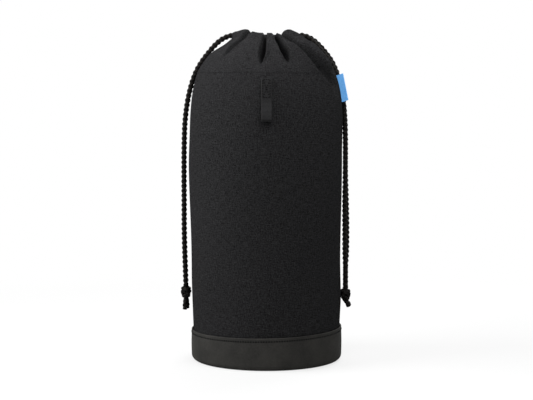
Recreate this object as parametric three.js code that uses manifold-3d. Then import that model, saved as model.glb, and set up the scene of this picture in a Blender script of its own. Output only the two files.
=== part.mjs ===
// A padded drawstring pouch: a soft cylinder on a wrapped base, with a gathered collar that opens.
// Millimetres, +Z up, origin at the middle of the underside. Azimuth 0 is the front (-Y), 90 is +X.
import * as THREE from 'three';
import { mergeVertices } from 'three/addons/utils/BufferGeometryUtils.js';
import Module from 'manifold-3d';

const wasm = await Module();
wasm.setup();

// Fits
const seamGap = 0.3; // clearance between pieces that touch
const roundSteps = 36; // facets round the pouch
const edgeSteps = 4; // facets round the band's bottom edge
const foldSteps = 8; // facets round the loop's foot
const cordSteps = 4; // half the facets round a cord

// Padded body
const footRadius = 55.6; // cover where the band wraps it
const bellyRadius = 57.8; // widest place of the body
const bellyHeight = 155;
const hemRadius = 52; // seam between body and collar
const hemHeight = 217;
const shoulderPower = 4; // how late the shoulder draws in
const coverThickness = 1;
const paddingThickness = 3;
const liningThickness = 0.8;
const foamDrop = 12; // from the hem down to the top of the foam
const wallSteps = 8; // facets up the wall

// Base
const bandThickness = 1.1;
const bandHeight = 23;
const bandRounding = 4; // radius of the bottom edge
const lipThickness = 0.5; // how far the folded lip stands out
const lipHeight = 1.6;
const boardThickness = 2;
const boardInset = 1; // from the start of the band's rounding to the board's edge
const basePadThickness = 3;

// Collar, gathered closed
const rimRadius = 23;
const collarRise = 29; // from the hem up to the rim
const bulgeInset = 8; // control point of the collar's curve, in from the hem
const bulgeRise = 16; // and up from it
const collarThickness = 1.8;
const collarSteps = 6;
const ridgeGap = 1.6; // from the side of a ridge to the middle of the valley beside it
const valleyAzimuths = [-57, -6, 15, 59, 106, 152, 200, 252];

// Drawcords and their casing
const cordDiameter = 3.7;
const channelClearance = 0.3; // round the cord in its channel
const casingCloth = 0.75;
const casingSides = 10;
const exitWidth = 9; // slit in the casing at each side seam
const exitAzimuths = [-90, 90];

// Tucked pleats between the ridges, in three layers
const pleatThickness = 1.2;
const pleatShortfall = 0.5; // how much shorter it is than a ridge
const pleatTipWidth = 2;
const pleatLap = 0.8; // how far it laps behind the ridge at each side
const pleatTucks = [11, 19, 27]; // degrees that each layer lies below the collar's slope

// Stitching
const threadThickness = 0.6;
const threadWidth = 0.8;
const hemStitchDrop = 2; // below the hem
const bandStitchDrop = 2.3; // below the band's lip

// Webbing loop on the front
const webbingWidth = 8;
const webbingThickness = 1.15;
const sewnDrop = 4.4; // from the hem down to the sewn end
const sewnHeight = 15.1;
const loopHang = 15.3; // from the sewn end down to the foot of the loop
const loopEndRadius = 4.4; // outside of the fold at the loop's foot
const eyeHeight = 9.5; // from the middle of that fold to the top of the eye
const boxStitchMargin = 1;
const boxStitchThread = 0.7;

// Label in the right side seam
const labelAzimuth = 84;
const labelDrop = 3; // from the hem down to the label
const labelHeight = 20.5;
const labelReach = 4.8; // how far it stands out of the seam
const labelRise = 1.5; // its free edge sits higher than its sewn edge
const labelThickness = 1;

// Knots at the cord ends
const knotHeight = 10.7;
const knotWidth = 9;
const knotSides = 10;
const knotRings = 6;
const tailReach = 3; // how deep a tail starts inside its knot

// Shapes and their frames
const up = new THREE.Vector3(0, 0, 1);
const degrees = THREE.MathUtils.degToRad;

function outward(azimuth) {
  return new THREE.Vector3(Math.sin(degrees(azimuth)), -Math.cos(degrees(azimuth)), 0);
}

function along(azimuth) {
  return new THREE.Vector3(Math.cos(degrees(azimuth)), Math.sin(degrees(azimuth)), 0);
}

// The body stands straight behind the band, swells to the belly and draws in to the hem.
function bodyRadius(height) {
  if (height < bellyHeight) {
    const rise = Math.max(0, (height - bandHeight) / (bellyHeight - bandHeight));
    return footRadius + (bellyRadius - footRadius) * Math.sin((Math.PI / 2) * rise);
  }
  const drawIn = ((height - bellyHeight) / (hemHeight - bellyHeight)) ** shoulderPower;
  return bellyRadius - (bellyRadius - hemRadius) * drawIn;
}

// One closed set of faces: shared corners merged, slivers dropped, faces turned outwards.
function closed(geometry) {
  const bare = geometry.clone();
  bare.deleteAttribute('normal');
  bare.deleteAttribute('uv');
  const merged = mergeVertices(bare, 1e-4);
  const corners = merged.getAttribute('position');
  const faces = [];
  const [a, b, c] = [new THREE.Vector3(), new THREE.Vector3(), new THREE.Vector3()];
  let volume = 0;
  for (let i = 0; i < merged.index.count; i += 3) {
    const [p, q, r] = [0, 1, 2].map((k) => merged.index.getX(i + k));
    if (p === q || q === r || r === p) continue;
    faces.push([p, q, r]);
    a.fromBufferAttribute(corners, p);
    b.fromBufferAttribute(corners, q);
    c.fromBufferAttribute(corners, r);
    volume += a.dot(b.cross(c));
  }
  merged.setIndex((volume < 0 ? faces.map((face) => face.reverse()) : faces).flat());
  return merged;
}

function toSolid(geometry) {
  const shell = closed(geometry);
  return new wasm.Manifold(new wasm.Mesh({
    numProp: 3,
    vertProperties: new Float32Array(shell.getAttribute('position').array),
    triVerts: new Uint32Array(shell.index.array),
  }));
}

function toGeometry(solid) {
  const mesh = solid.getMesh();
  const geometry = new THREE.BufferGeometry();
  geometry.setAttribute('position', new THREE.BufferAttribute(mesh.vertProperties, 3));
  geometry.setIndex(new THREE.BufferAttribute(mesh.triVerts, 1));
  return geometry;
}

// A closed outline of [radius, height] points turned about the upright axis.
function turned(outline) {
  const points = [...outline, outline[0]].map(([radius, height]) => new THREE.Vector2(radius, height));
  return new THREE.LatheGeometry(points, roundSteps).rotateX(Math.PI / 2);
}

// Heights that every layer of the wall shares: closer together towards the hem, one just over the foam.
const paddingTop = hemHeight - foamDrop;
const foamEnd = paddingTop + seamGap;
const wallHeights = [foamEnd];
for (let i = 0; i < wallSteps; i += 1) {
  wallHeights.push(bandHeight + (hemHeight - bandHeight) * Math.sin((Math.PI / 2) * (i / wallSteps)));
}
wallHeights.sort((lower, higher) => lower - higher);

// A wall that follows the body: its outer face lies inside the cover's by a depth that may vary.
function wall(depthAt, thickness, bottom, top) {
  const heights = [bottom, ...wallHeights.filter((height) => height < top), top];
  const outer = heights.map((height) => [bodyRadius(height) - depthAt(height), height]);
  const inner = outer.map(([radius, height]) => [radius - thickness, height]).reverse();
  return turned([...outer, ...inner]);
}

function disc(radius, bottom, thickness) {
  return new THREE.CylinderGeometry(radius, radius, thickness, roundSteps)
    .rotateX(Math.PI / 2)
    .translate(0, 0, bottom + thickness / 2);
}

function ring(radius, height, sectionRadius, sides) {
  const outline = [];
  for (let i = 0; i < sides; i += 1) {
    const turn = (2 * Math.PI * i) / sides;
    outline.push([radius + sectionRadius * Math.cos(turn), height + sectionRadius * Math.sin(turn)]);
  }
  return turned(outline);
}

function extruded(outline, depth, holes = []) {
  const shape = new THREE.Shape(outline.map(([x, y]) => new THREE.Vector2(x, y)));
  shape.holes = holes.map((hole) => new THREE.Path(hole.map(([x, y]) => new THREE.Vector2(x, y))));
  return new THREE.ExtrudeGeometry(shape, { depth, bevelEnabled: false });
}

// Moves a shape drawn on axes x, y and z to those directions in the pouch, about a point.
function placed(geometry, x, y, z, point) {
  return geometry.applyMatrix4(new THREE.Matrix4().makeBasis(x, y, z).setPosition(point));
}

function cordTube(route) {
  const points = route.map(([x, y, z]) => new THREE.Vector3(x, y, z));
  const path = new THREE.CatmullRomCurve3(points, false, 'centripetal');
  const section = new THREE.Shape().absarc(0, 0, cordDiameter / 2, 0, 2 * Math.PI);
  const options = { steps: route.length, extrudePath: path, curveSegments: cordSteps, bevelEnabled: false };
  return new THREE.ExtrudeGeometry(section, options);
}

const finishes = {
  cover: { color: 0x2a2a2b, roughness: 0.95, metalness: 0 },
  foam: { color: 0x55565a, roughness: 1, metalness: 0 },
  lining: { color: 0x333336, roughness: 0.9, metalness: 0 },
  leatherette: { color: 0x3a3937, roughness: 0.55, metalness: 0 },
  board: { color: 0x6d665c, roughness: 0.85, metalness: 0 },
  thread: { color: 0x1b1b1c, roughness: 0.8, metalness: 0 },
  webbing: { color: 0x242425, roughness: 0.85, metalness: 0 },
  label: { color: 0x4f8fd0, roughness: 0.7, metalness: 0 },
  cord: { color: 0x2b2820, roughness: 0.8, metalness: 0 },
};

const pouch = new THREE.Group();

function add(name, geometry, finish) {
  const mesh = new THREE.Mesh(closed(geometry), new THREE.MeshStandardMaterial(finishes[finish]));
  mesh.name = name;
  pouch.add(mesh);
}

// Base: the band turns under the bottom edge and meets the sole; board, pad and lining stack above it.
const bandInner = footRadius + seamGap;
const bandRadius = bandInner + bandThickness;
const roundingCentre = bandRadius - bandRounding;

function bandOutline() {
  const outer = [];
  const inner = [];
  for (let i = 0; i <= edgeSteps; i += 1) {
    const turn = (Math.PI / 2) * (1 - i / edgeSteps);
    const [side, drop] = [Math.cos(turn), Math.sin(turn)];
    const innerRounding = bandRounding - bandThickness;
    outer.push([roundingCentre + bandRounding * side, bandRounding * (1 - drop)]);
    inner.push([roundingCentre + innerRounding * side, bandRounding - innerRounding * drop]);
  }
  const lip = [
    [bandRadius, bandHeight - lipHeight],
    [bandRadius + lipThickness, bandHeight - lipHeight / 2],
    [bandRadius, bandHeight],
    [bandInner, bandHeight],
  ];
  return [...outer, ...lip, ...inner.reverse()];
}

const boardBottom = bandThickness + seamGap;
const boardTop = boardBottom + boardThickness;
const padBottom = boardTop + seamGap;
const baseLiningBottom = padBottom + basePadThickness + seamGap;
const paddingDepth = coverThickness + seamGap;
const liningDepth = paddingDepth + paddingThickness + seamGap;
const floorRadius = footRadius - liningDepth - liningThickness - seamGap;

add('base_band', turned(bandOutline()), 'leatherette');
add('base_sole', disc(roundingCentre - seamGap, 0, bandThickness), 'leatherette');
add('base_board', disc(roundingCentre - boardInset, boardBottom, boardThickness), 'board');
add('base_pad', disc(floorRadius, padBottom, basePadThickness), 'foam');
add('base_lining', disc(floorRadius, baseLiningBottom, liningThickness), 'lining');

// Body wall: cover, foam and lining. Above the foam the lining comes out to meet the cover at the hem.
function liningDepthAt(height) {
  const rise = THREE.MathUtils.smoothstep(height, foamEnd, hemHeight);
  return liningDepth + (paddingDepth - liningDepth) * rise;
}

add('body_cover', wall(() => 0, coverThickness, bandRounding + seamGap, hemHeight), 'cover');
add('body_padding', wall(() => paddingDepth, paddingThickness, padBottom, paddingTop), 'foam');
add('body_lining', wall(liningDepthAt, liningThickness, padBottom, hemHeight), 'lining');

// Stitch rows on the hem and on the band
function stitchRow(surfaceRadius, height) {
  const near = surfaceRadius + seamGap;
  return turned([
    [near, height - threadWidth / 2],
    [near + threadThickness, height - threadWidth / 2],
    [near + threadThickness, height + threadWidth / 2],
    [near, height + threadWidth / 2],
  ]);
}

const hemStitchHeight = hemHeight - hemStitchDrop;
add('hem_stitch', stitchRow(bodyRadius(hemStitchHeight - threadWidth), hemStitchHeight), 'thread');
add('band_stitch', stitchRow(bandRadius, bandHeight - bandStitchDrop), 'thread');

// Collar: a turned shell with a round casing under its rim, cut into ridges between the valleys.
const cordRadius = cordDiameter / 2;
const channelRadius = cordRadius + channelClearance;
const casingRadius = channelRadius + casingCloth;
const hemPoint = new THREE.Vector2(hemRadius, hemHeight);
const bulgePoint = new THREE.Vector2(hemRadius - bulgeInset, hemHeight + bulgeRise);
const rimHeight = hemHeight + collarRise;
const rimPoint = new THREE.Vector2(rimRadius, rimHeight);
const collarCurve = new THREE.QuadraticBezierCurve(hemPoint, bulgePoint, rimPoint);

function inwardOf(tangent) {
  return new THREE.Vector2(-tangent.y, tangent.x);
}

const rimTangent = collarCurve.getTangent(1);
const casingCentre = rimPoint.clone()
  .addScaledVector(rimTangent, -casingRadius)
  .addScaledVector(inwardOf(rimTangent), casingRadius);

function collarOutline() {
  const outer = [];
  const inner = [];
  for (let i = 0; i <= collarSteps; i += 1) {
    const point = collarCurve.getPoint(i / collarSteps);
    const normal = inwardOf(collarCurve.getTangent(i / collarSteps));
    const inside = point.clone().addScaledVector(normal, collarThickness);
    outer.push([point.x, point.y]);
    inner.push([inside.x, inside.y]);
  }
  return [...outer, ...inner.reverse()];
}

const casing = toSolid(ring(casingCentre.x, casingCentre.y, casingRadius, casingSides));
const channel = toSolid(ring(casingCentre.x, casingCentre.y, channelRadius, casingSides));
const casingCord = toSolid(ring(casingCentre.x, casingCentre.y, cordRadius, casingSides));
const exitReach = 2 * casingRadius;
const exitSlits = exitAzimuths.map((azimuth) => {
  const slit = new THREE.BoxGeometry(exitWidth, exitReach, exitReach).translate(0, exitReach / 2, 0);
  const slitFoot = casingCentre.y + cordRadius;
  const corner = outward(azimuth).multiplyScalar(casingCentre.x).addScaledVector(up, slitFoot);
  return toSolid(placed(slit, along(azimuth).negate(), outward(azimuth), up, corner));
});
const hollowCollar = toSolid(turned(collarOutline())).add(casing).subtract(channel);
const collar = exitSlits.reduce((cut, slit) => cut.subtract(slit), hollowCollar);

// The space between two valleys, kept clear of both by the ridge gap.
function sector(from, to) {
  const middle = (from + to) / 2;
  const half = degrees((to - from) / 2);
  const reach = 2 * hemRadius;
  const apex = outward(middle).multiplyScalar(ridgeGap / Math.sin(half));
  const start = outward(from).multiplyScalar(reach).addScaledVector(along(from), ridgeGap);
  const far = outward(middle).multiplyScalar(2 * reach);
  const end = outward(to).multiplyScalar(reach).addScaledVector(along(to), -ridgeGap);
  const prism = extruded([apex, start, far, end].map((point) => [point.x, point.y]), rimHeight);
  return toSolid(prism.translate(0, 0, hemHeight + seamGap));
}

const ridges = valleyAzimuths.map((from, i) => {
  const next = valleyAzimuths[(i + 1) % valleyAzimuths.length];
  const to = next > from ? next : next + 360;
  return { from, to, half: degrees((to - from) / 2) };
});

ridges.forEach(({ from, to }, i) => {
  const space = sector(from, to);
  add(`collar_ridge_${i + 1}`, toGeometry(collar.intersect(space)), 'cover');
  add(`casing_cord_${i + 1}`, toGeometry(casingCord.intersect(space)), 'cord');
});

// Pleats: each fills the space that opens between two ridges when the collar stands up.
const collarSlope = Math.atan2(collarRise, hemRadius - rimRadius);
const pleatLength = Math.hypot(hemRadius - rimRadius, collarRise) - pleatShortfall;
const pleatHingeRadius = hemRadius - liningDepthAt(hemHeight) - liningThickness - seamGap;

valleyAzimuths.forEach((azimuth, i) => {
  const before = ridges[(i + ridges.length - 1) % ridges.length];
  const topBefore = (hemRadius - rimRadius) * before.half + pleatLap;
  const topAfter = (hemRadius - rimRadius) * ridges[i].half + pleatLap;
  const elevation = collarSlope - degrees(pleatTucks[i % pleatTucks.length]);
  const [level, rise] = [Math.cos(elevation), Math.sin(elevation)];
  const inward = outward(azimuth).multiplyScalar(-level).addScaledVector(up, rise);
  const face = outward(azimuth).multiplyScalar(rise).addScaledVector(up, level);
  const hinge = outward(azimuth).multiplyScalar(pleatHingeRadius).addScaledVector(up, hemHeight);
  const flat = extruded([
    [-pleatTipWidth / 2, seamGap],
    [pleatTipWidth / 2, seamGap],
    [topAfter, pleatLength],
    [-topBefore, pleatLength],
  ], pleatThickness).translate(0, 0, -pleatThickness);
  add(`collar_pleat_${i + 1}`, placed(flat, along(azimuth), inward, face, hinge), 'cover');
});

// How far the body bows out past a straight line between two heights.
function bowBetween(bottom, top) {
  return bodyRadius((bottom + top) / 2) - (bodyRadius(bottom) + bodyRadius(top)) / 2;
}

// A point just off the body, far enough out for a straight piece between two heights.
function seatPoint(azimuth, height, bottom, top) {
  const reach = bodyRadius(height) + bowBetween(bottom, top) + seamGap;
  return outward(azimuth).multiplyScalar(reach).addScaledVector(up, height);
}

// Webbing loop: the sewn half lies along the shoulder, the free half hangs below it as an eye.
const front = outward(0);
const sideways = along(0);
const sewnThickness = 2 * webbingThickness;
const sewnTop = hemHeight - sewnDrop;
const sewnBottom = sewnTop - sewnHeight;
const loopBottom = sewnBottom - loopHang;
const sewnFoot = seatPoint(0, sewnBottom, sewnBottom, sewnTop);
const sewnRun = seatPoint(0, sewnTop, sewnBottom, sewnTop).sub(sewnFoot);
const sewnLength = sewnRun.length();
const sewnUp = sewnRun.normalize();
const sewnFace = sideways.clone().cross(sewnUp);
const sewnEnd = new THREE.BoxGeometry(webbingWidth, sewnLength, sewnThickness)
  .translate(0, sewnLength / 2, sewnThickness / 2);
add('loop_sewn_end', placed(sewnEnd, sideways, sewnUp, sewnFace, sewnFoot), 'webbing');

// A box of thread with a cross from corner to corner.
function boxAndCross(width, height, thread) {
  const plate = (across, rise, depth) => toSolid(new THREE.BoxGeometry(across, rise, depth));
  const [innerWidth, innerHeight] = [width - 2 * thread, height - 2 * thread];
  const hole = plate(innerWidth, innerHeight, 2 * threadThickness);
  const diagonal = plate(Math.hypot(innerWidth, innerHeight), thread, threadThickness);
  const lean = THREE.MathUtils.radToDeg(Math.atan2(innerHeight, innerWidth));
  const box = plate(width, height, threadThickness).subtract(hole);
  return toGeometry(box.add(diagonal.rotate([0, 0, lean])).add(diagonal.rotate([0, 0, -lean])));
}

const stitchWidth = webbingWidth - 2 * boxStitchMargin;
const stitchLength = sewnLength - 2 * boxStitchMargin;
const boxStitch = boxAndCross(stitchWidth, stitchLength, boxStitchThread)
  .translate(0, sewnLength / 2, sewnThickness + seamGap + threadThickness / 2);
add('loop_stitch', placed(boxStitch, sideways, sewnUp, sewnFace, sewnFoot), 'thread');

// Points round the lower half of a circle, from its left side to its right side.
function lowerArc(x, y, radius) {
  const points = [];
  for (let i = 0; i <= foldSteps; i += 1) {
    const turn = Math.PI * (1 + i / foldSteps);
    points.push([x + radius * Math.cos(turn), y + radius * Math.sin(turn)]);
  }
  return points;
}

function eyeOutlines() {
  const back = bodyRadius(loopBottom) + seamGap;
  const top = sewnBottom - seamGap;
  const [x, y] = [back + loopEndRadius, loopBottom + loopEndRadius];
  const outside = [...lowerArc(x, y, loopEndRadius), [back + sewnThickness, top], [back, top]];
  const eyeTop = [back + webbingThickness, y + eyeHeight];
  const inside = [...lowerArc(x, y, loopEndRadius - webbingThickness), eyeTop];
  return { outside, inside };
}

const eye = eyeOutlines();
const hangLoop = extruded(eye.outside, webbingWidth, [eye.inside]).translate(0, 0, -webbingWidth / 2);
add('hang_loop', placed(hangLoop, front, up, sideways.clone().negate(), new THREE.Vector3()), 'webbing');

// Label: a folded tab that stands out of the side seam along the shoulder.
const labelTop = hemHeight - labelDrop;
const labelBottom = labelTop - labelHeight;
const labelFoot = seatPoint(labelAzimuth, labelBottom, labelBottom, labelTop);
const labelRun = seatPoint(labelAzimuth, labelTop, labelBottom, labelTop).sub(labelFoot);
const labelLength = labelRun.length();
const labelUp = labelRun.normalize();
const labelFace = along(labelAzimuth).negate();
const labelOut = labelUp.clone().cross(labelFace);
const label = extruded([
  [0, 0],
  [labelReach, labelRise],
  [labelReach, labelLength + labelRise],
  [0, labelLength],
], labelThickness).translate(0, 0, -labelThickness / 2);
add('side_label', placed(label, labelOut, labelUp, labelFace, labelFoot), 'label');

// Free cords: two strands leave each side slit, lie over the collar, hang down and share one knot.
// Each row is [x, z, spread], and the two strands lie half the spacing to the front and to the back.
const strandSpacing = 4.2;
const sides = {
  left: {
    route: [
      [-26.5, 245.2, 0], [-31, 244.3, 0], [-35.8, 241.8, 0], [-41.9, 236.2, 0], [-47, 230.4, 0],
      [-51, 224.4, 0], [-55.3, 218, 0], [-57.8, 211, 0], [-59.6, 203, 0], [-61, 194, 0],
      [-62.2, 184, 0], [-63.2, 172, 0], [-63.6, 152, 0], [-63.7, 130, 0], [-63.6, 108, 0],
      [-63.3, 86, 0], [-62.5, 69, 0],
    ],
    knot: [-61.4, 49],
    tails: [[-62.4, 36.4], [-60.3, 35.6]],
  },
  right: {
    route: [
      [26.5, 245.2, 0], [31, 244.4, 0.6], [35.7, 241.7, 1], [41.9, 236.2, 1], [47.3, 230.4, 0.9],
      [51.8, 224.2, 0.7], [55.7, 218, 0.3], [57.9, 210, 0], [59.1, 201, 0], [59.8, 190, 0],
      [60.3, 178, 0], [60.5, 163, 0], [60.7, 142, 0.3], [60.9, 119, 0.8], [61.1, 96, 1],
      [60.8, 80, 0.8], [60.5, 66, 0.3],
    ],
    knot: [60.8, 46],
    tails: [[63, 35.8], [64.2, 36.6]],
  },
};

function knotBlob(x, z) {
  const outline = [];
  for (let i = 0; i <= knotRings; i += 1) {
    const turn = (Math.PI * i) / knotRings;
    outline.push(new THREE.Vector2((knotWidth / 2) * Math.sin(turn), (-knotHeight / 2) * Math.cos(turn)));
  }
  return new THREE.LatheGeometry(outline, knotSides).rotateX(Math.PI / 2).translate(x, 0, z);
}

for (const [side, { route, knot, tails }] of Object.entries(sides)) {
  const [knotX, knotZ] = knot;
  const strandEnd = knotZ + knotHeight / 2 + seamGap;
  let tied = toSolid(knotBlob(knotX, knotZ));
  for (const [place, spreadSide, tail] of [['front', -1, tails[0]], ['back', 1, tails[1]]]) {
    const depth = (spreadSide * strandSpacing) / 2;
    const strand = route.map(([x, z, spread]) => [x + spreadSide * spread, depth, z]);
    add(`${side}_cord_${place}`, cordTube([...strand, [knotX, depth, strandEnd]]), 'cord');
    const tailStart = [knotX, depth / 2, knotZ - knotHeight / 2 + tailReach];
    tied = tied.add(toSolid(cordTube([tailStart, [tail[0], depth, tail[1]]])));
  }
  add(`${side}_knot`, toGeometry(tied), 'cord');
}

export default pouch;
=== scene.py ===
import math
import bmesh
import bpy
import numpy as np
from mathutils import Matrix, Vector


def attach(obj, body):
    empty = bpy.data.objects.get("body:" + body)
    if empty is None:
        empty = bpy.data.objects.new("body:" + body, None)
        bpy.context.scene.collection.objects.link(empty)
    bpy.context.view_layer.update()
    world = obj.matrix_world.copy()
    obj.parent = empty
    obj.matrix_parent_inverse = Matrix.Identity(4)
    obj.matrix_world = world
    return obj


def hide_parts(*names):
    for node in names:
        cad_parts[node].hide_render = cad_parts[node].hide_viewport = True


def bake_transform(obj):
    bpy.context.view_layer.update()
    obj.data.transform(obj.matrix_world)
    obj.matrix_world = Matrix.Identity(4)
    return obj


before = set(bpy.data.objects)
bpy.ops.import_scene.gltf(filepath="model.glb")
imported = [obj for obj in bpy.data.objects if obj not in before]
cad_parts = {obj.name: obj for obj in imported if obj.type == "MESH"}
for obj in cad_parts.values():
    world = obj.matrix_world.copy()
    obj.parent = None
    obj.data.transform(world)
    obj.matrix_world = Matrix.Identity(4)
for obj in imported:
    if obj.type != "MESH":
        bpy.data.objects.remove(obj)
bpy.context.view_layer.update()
scene = bpy.context.scene
print("frame:", len(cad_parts), "solids")

# Shapes are worked out in millimetres and degrees; the mesh gets metres.
toMetres = 0.001
sideways = np.array([1.0, 0, 0])
upright = np.array([0, 0, 1.0])
# Edges that turn by more than this stay sharp.
sharpFrom = 64

camera = {"distance": 1.1, "eyeHeight": 0.205, "pitch": 4.38, "lens": 98.3, "sensor": 36, "nearest": 0.05}


# Camera: straight in front at eye height, looking down by its pitch.
def makeCamera(spec):
    data = bpy.data.cameras.new("camera")
    data.lens = spec["lens"]
    data.sensor_width = spec["sensor"]
    data.clip_start = spec["nearest"]
    eye = bpy.data.objects.new("camera", data)
    eye.location = (0, -spec["distance"], spec["eyeHeight"])
    eye.rotation_euler = (math.radians(90 - spec["pitch"]), 0, 0)
    scene.collection.objects.link(eye)
    scene.camera = eye


makeCamera(camera)


# Azimuth 0 is the front, 90 the right side; a point is radius * (sin a, -cos a) at a height.
def polar(azimuth, radius, height):
    a = np.radians(azimuth)
    return np.stack(np.broadcast_arrays(radius * np.sin(a), -radius * np.cos(a), height), -1)


def apart(azimuth, middle):  # degrees from a middle, -180 to 180
    return (azimuth - middle + 180) % 360 - 180


def smooth(x):  # 3 x squared less 2 x cubed: 0 to 1 with flat ends
    x = np.clip(x, 0, 1)
    return x * x * (3 - 2 * x)


def bell(x):  # e to the minus x squared: 1 at 0, falling away on both sides
    return np.exp(-(x**2))


def between(height, spec):  # 1 between two heights and 0 outside, with soft ends
    return smooth((height - spec["low"]) / spec["fade"]) * smooth((spec["high"] - height) / spec["fade"])


def unit(v):  # a vector over its length
    return v / np.maximum(np.linalg.norm(v, axis=-1, keepdims=True), 1e-9)


# Quads between neighbours on a grid of rows and columns; a wrapped direction closes on itself.
def gridQuads(rows, columns, wrapRows=False, wrapColumns=False):
    r = np.arange(rows if wrapRows else rows - 1)
    c = np.arange(columns if wrapColumns else columns - 1)
    r, c = np.meshgrid(r, c, indexing="ij")
    r2, c2 = (r + 1) % rows, (c + 1) % columns
    quads = np.stack([r * columns + c, r * columns + c2, r2 * columns + c2, r2 * columns + c], -1)
    return quads.reshape(-1, 4)


# Texture places of those quads, from lengths along the columns and along the rows.
def gridPlaces(across, up):
    r, c = np.meshgrid(np.arange(len(up) - 1), np.arange(len(across) - 1), indexing="ij")
    corners = [(r, c), (r, c + 1), (r + 1, c + 1), (r + 1, c)]
    return np.stack([np.stack([across[j], up[i]], -1) for i, j in corners], -2).reshape(-1, 4, 2)


def ladder(count):  # quads that fill a flat loop of points, from its two ends to its middle
    k = np.arange(count // 2 - 1)
    return np.stack([k, k + 1, count - 2 - k, count - 1 - k], -1)


def tubeFaces(rows, sides):  # quads round a tube and one cap at each end
    ring = np.arange(sides)
    return gridQuads(rows, sides, wrapColumns=True), np.stack([ring[::-1], ring + (rows - 1) * sides])


def sleeveFaces(rows, columns):  # quads round a flat sleeve and across its two ends
    end = ladder(columns)
    ends = np.concatenate([end[:, ::-1], end + (rows - 1) * columns])
    return gridQuads(rows, columns, wrapColumns=True), ends


def noPlaces(faces):  # texture places for faces whose finish doesn't use them
    return np.zeros((*faces.shape, 2))


def lengthsAlong(line, closed=False):  # distance from the start to each point of a line
    if closed:
        line = np.concatenate([line, line[:1]])
    steps = np.linalg.norm(np.diff(line, axis=0), axis=1)
    return np.concatenate([[0], np.cumsum(steps)])


# Several shells as one: points, quads and end caps, the faces counting on from the shells before.
def joinShells(shells):
    starts = np.cumsum([0] + [len(shell[0]) for shell in shells])
    faceSets = [np.concatenate([shell[k] + start for shell, start in zip(shells, starts)]) for k in (1, 2)]
    return np.concatenate([shell[0] for shell in shells]), faceSets


# One mesh from points, sets of faces with equal corner counts, and texture places for each set.
def makePiece(name, points, faceSets, placeSets, material, merge=False):
    points = np.asarray(points, float).reshape(-1, 3)
    totals = np.concatenate([np.full(len(f), f.shape[1]) for f in faceSets])
    starts = np.concatenate([[0], np.cumsum(totals)[:-1]])
    corners = np.concatenate([f.reshape(-1) for f in faceSets])
    places = np.concatenate([p.reshape(-1, 2) for p in placeSets])
    mesh = bpy.data.meshes.new(name)
    mesh.vertices.add(len(points))
    mesh.vertices.foreach_set("co", (points * toMetres).astype(np.float32).ravel())
    mesh.loops.add(len(corners))
    mesh.loops.foreach_set("vertex_index", corners.astype(np.int32))
    mesh.polygons.add(len(totals))
    mesh.polygons.foreach_set("loop_start", starts.astype(np.int32))
    mesh.polygons.foreach_set("loop_total", totals.astype(np.int32))
    mesh.polygons.foreach_set("use_smooth", np.ones(len(totals), bool))
    mesh.update(calc_edges=True)
    mesh.uv_layers.new(name="clothMap").data.foreach_set("uv", places.astype(np.float32).ravel())
    mesh.materials.append(material)
    mesh.validate()
    if merge:
        mergeDoubles(mesh)
    turnOutward(mesh)
    mesh.set_sharp_from_angle(angle=math.radians(sharpFrom))
    piece = bpy.data.objects.new(name, mesh)
    scene.collection.objects.link(piece)
    return piece


def mergeDoubles(mesh):  # joins points that fall together and drops faces without area
    work = bmesh.new()
    work.from_mesh(mesh)
    bmesh.ops.remove_doubles(work, verts=work.verts, dist=1e-6)
    bmesh.ops.dissolve_degenerate(work, edges=work.edges, dist=1e-7)
    work.to_mesh(mesh)
    work.free()


def turnOutward(mesh):  # a shell whose volume is negative is inside out
    work = bmesh.new()
    work.from_mesh(mesh)
    if work.calc_volume(signed=True) < 0:
        mesh.flip_normals()
    work.free()


def settle(piece, body, slotName, *nodes):  # the body it moves with, its slot, which is not used, and what it stands for
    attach(piece, body)
    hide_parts(*nodes)


# Materials: small helpers that add nodes and wire them.
def fromScreen(red, green, blue):  # screen colour 0-255 to the shader's linear colour
    c = np.array([red, green, blue]) / 255
    linear = np.where(c <= 0.04045, c / 12.92, ((c + 0.055) / 1.055) ** 2.4)
    return (*linear.tolist(), 1)


def connect(tree, node, inputs):  # an input is a plain value or another node's output
    for name, value in inputs.items():
        if hasattr(value, "is_output"):
            tree.links.new(value, node.inputs[name])
        else:
            node.inputs[name].default_value = value


def addNode(tree, kind, inputs, **settings):  # a shader node with its settings and inputs
    node = tree.nodes.new("ShaderNode" + kind)
    for name, value in settings.items():
        setattr(node, name, value)
    connect(tree, node, inputs)
    return node


def calc(tree, operation, *values, clamp=False):  # one sum on up to three values
    return addNode(tree, "Math", dict(enumerate(values)), operation=operation, use_clamp=clamp).outputs[0]


def times(tree, first, second):  # the first times the second
    return calc(tree, "MULTIPLY", first, second)


def weighted(tree, first, share, second, rest):  # the first times its share plus the second times the rest
    return calc(tree, "ADD", times(tree, first, share), times(tree, second, rest))


def wave(tree, place, rate):  # the sine of a place times a rate
    return calc(tree, "SINE", times(tree, place, rate))


def contrast(tree, tone, gain):  # spreads a tone about its middle
    return calc(tree, "MULTIPLY_ADD", calc(tree, "SUBTRACT", tone, 0.5), gain, 0.5, clamp=True)


def scaled(tree, vector, factor):  # a vector times a number
    return addNode(tree, "VectorMath", {0: vector, "Scale": factor}, operation="SCALE").outputs[0]


def parts(tree, vector):  # the first two parts of a vector
    return addNode(tree, "SeparateXYZ", {0: vector}).outputs[:2]


# Soft noise at a place that is stretched along its axes.
def noise(tree, vector, stretch, detail=2.0, roughness=0.55):
    place = addNode(tree, "VectorMath", {0: vector, 1: stretch}, operation="MULTIPLY").outputs[0]
    inputs = {"Vector": place, "Scale": 1, "Detail": detail, "Roughness": roughness}
    return addNode(tree, "TexNoise", inputs).outputs["Fac"]


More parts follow.
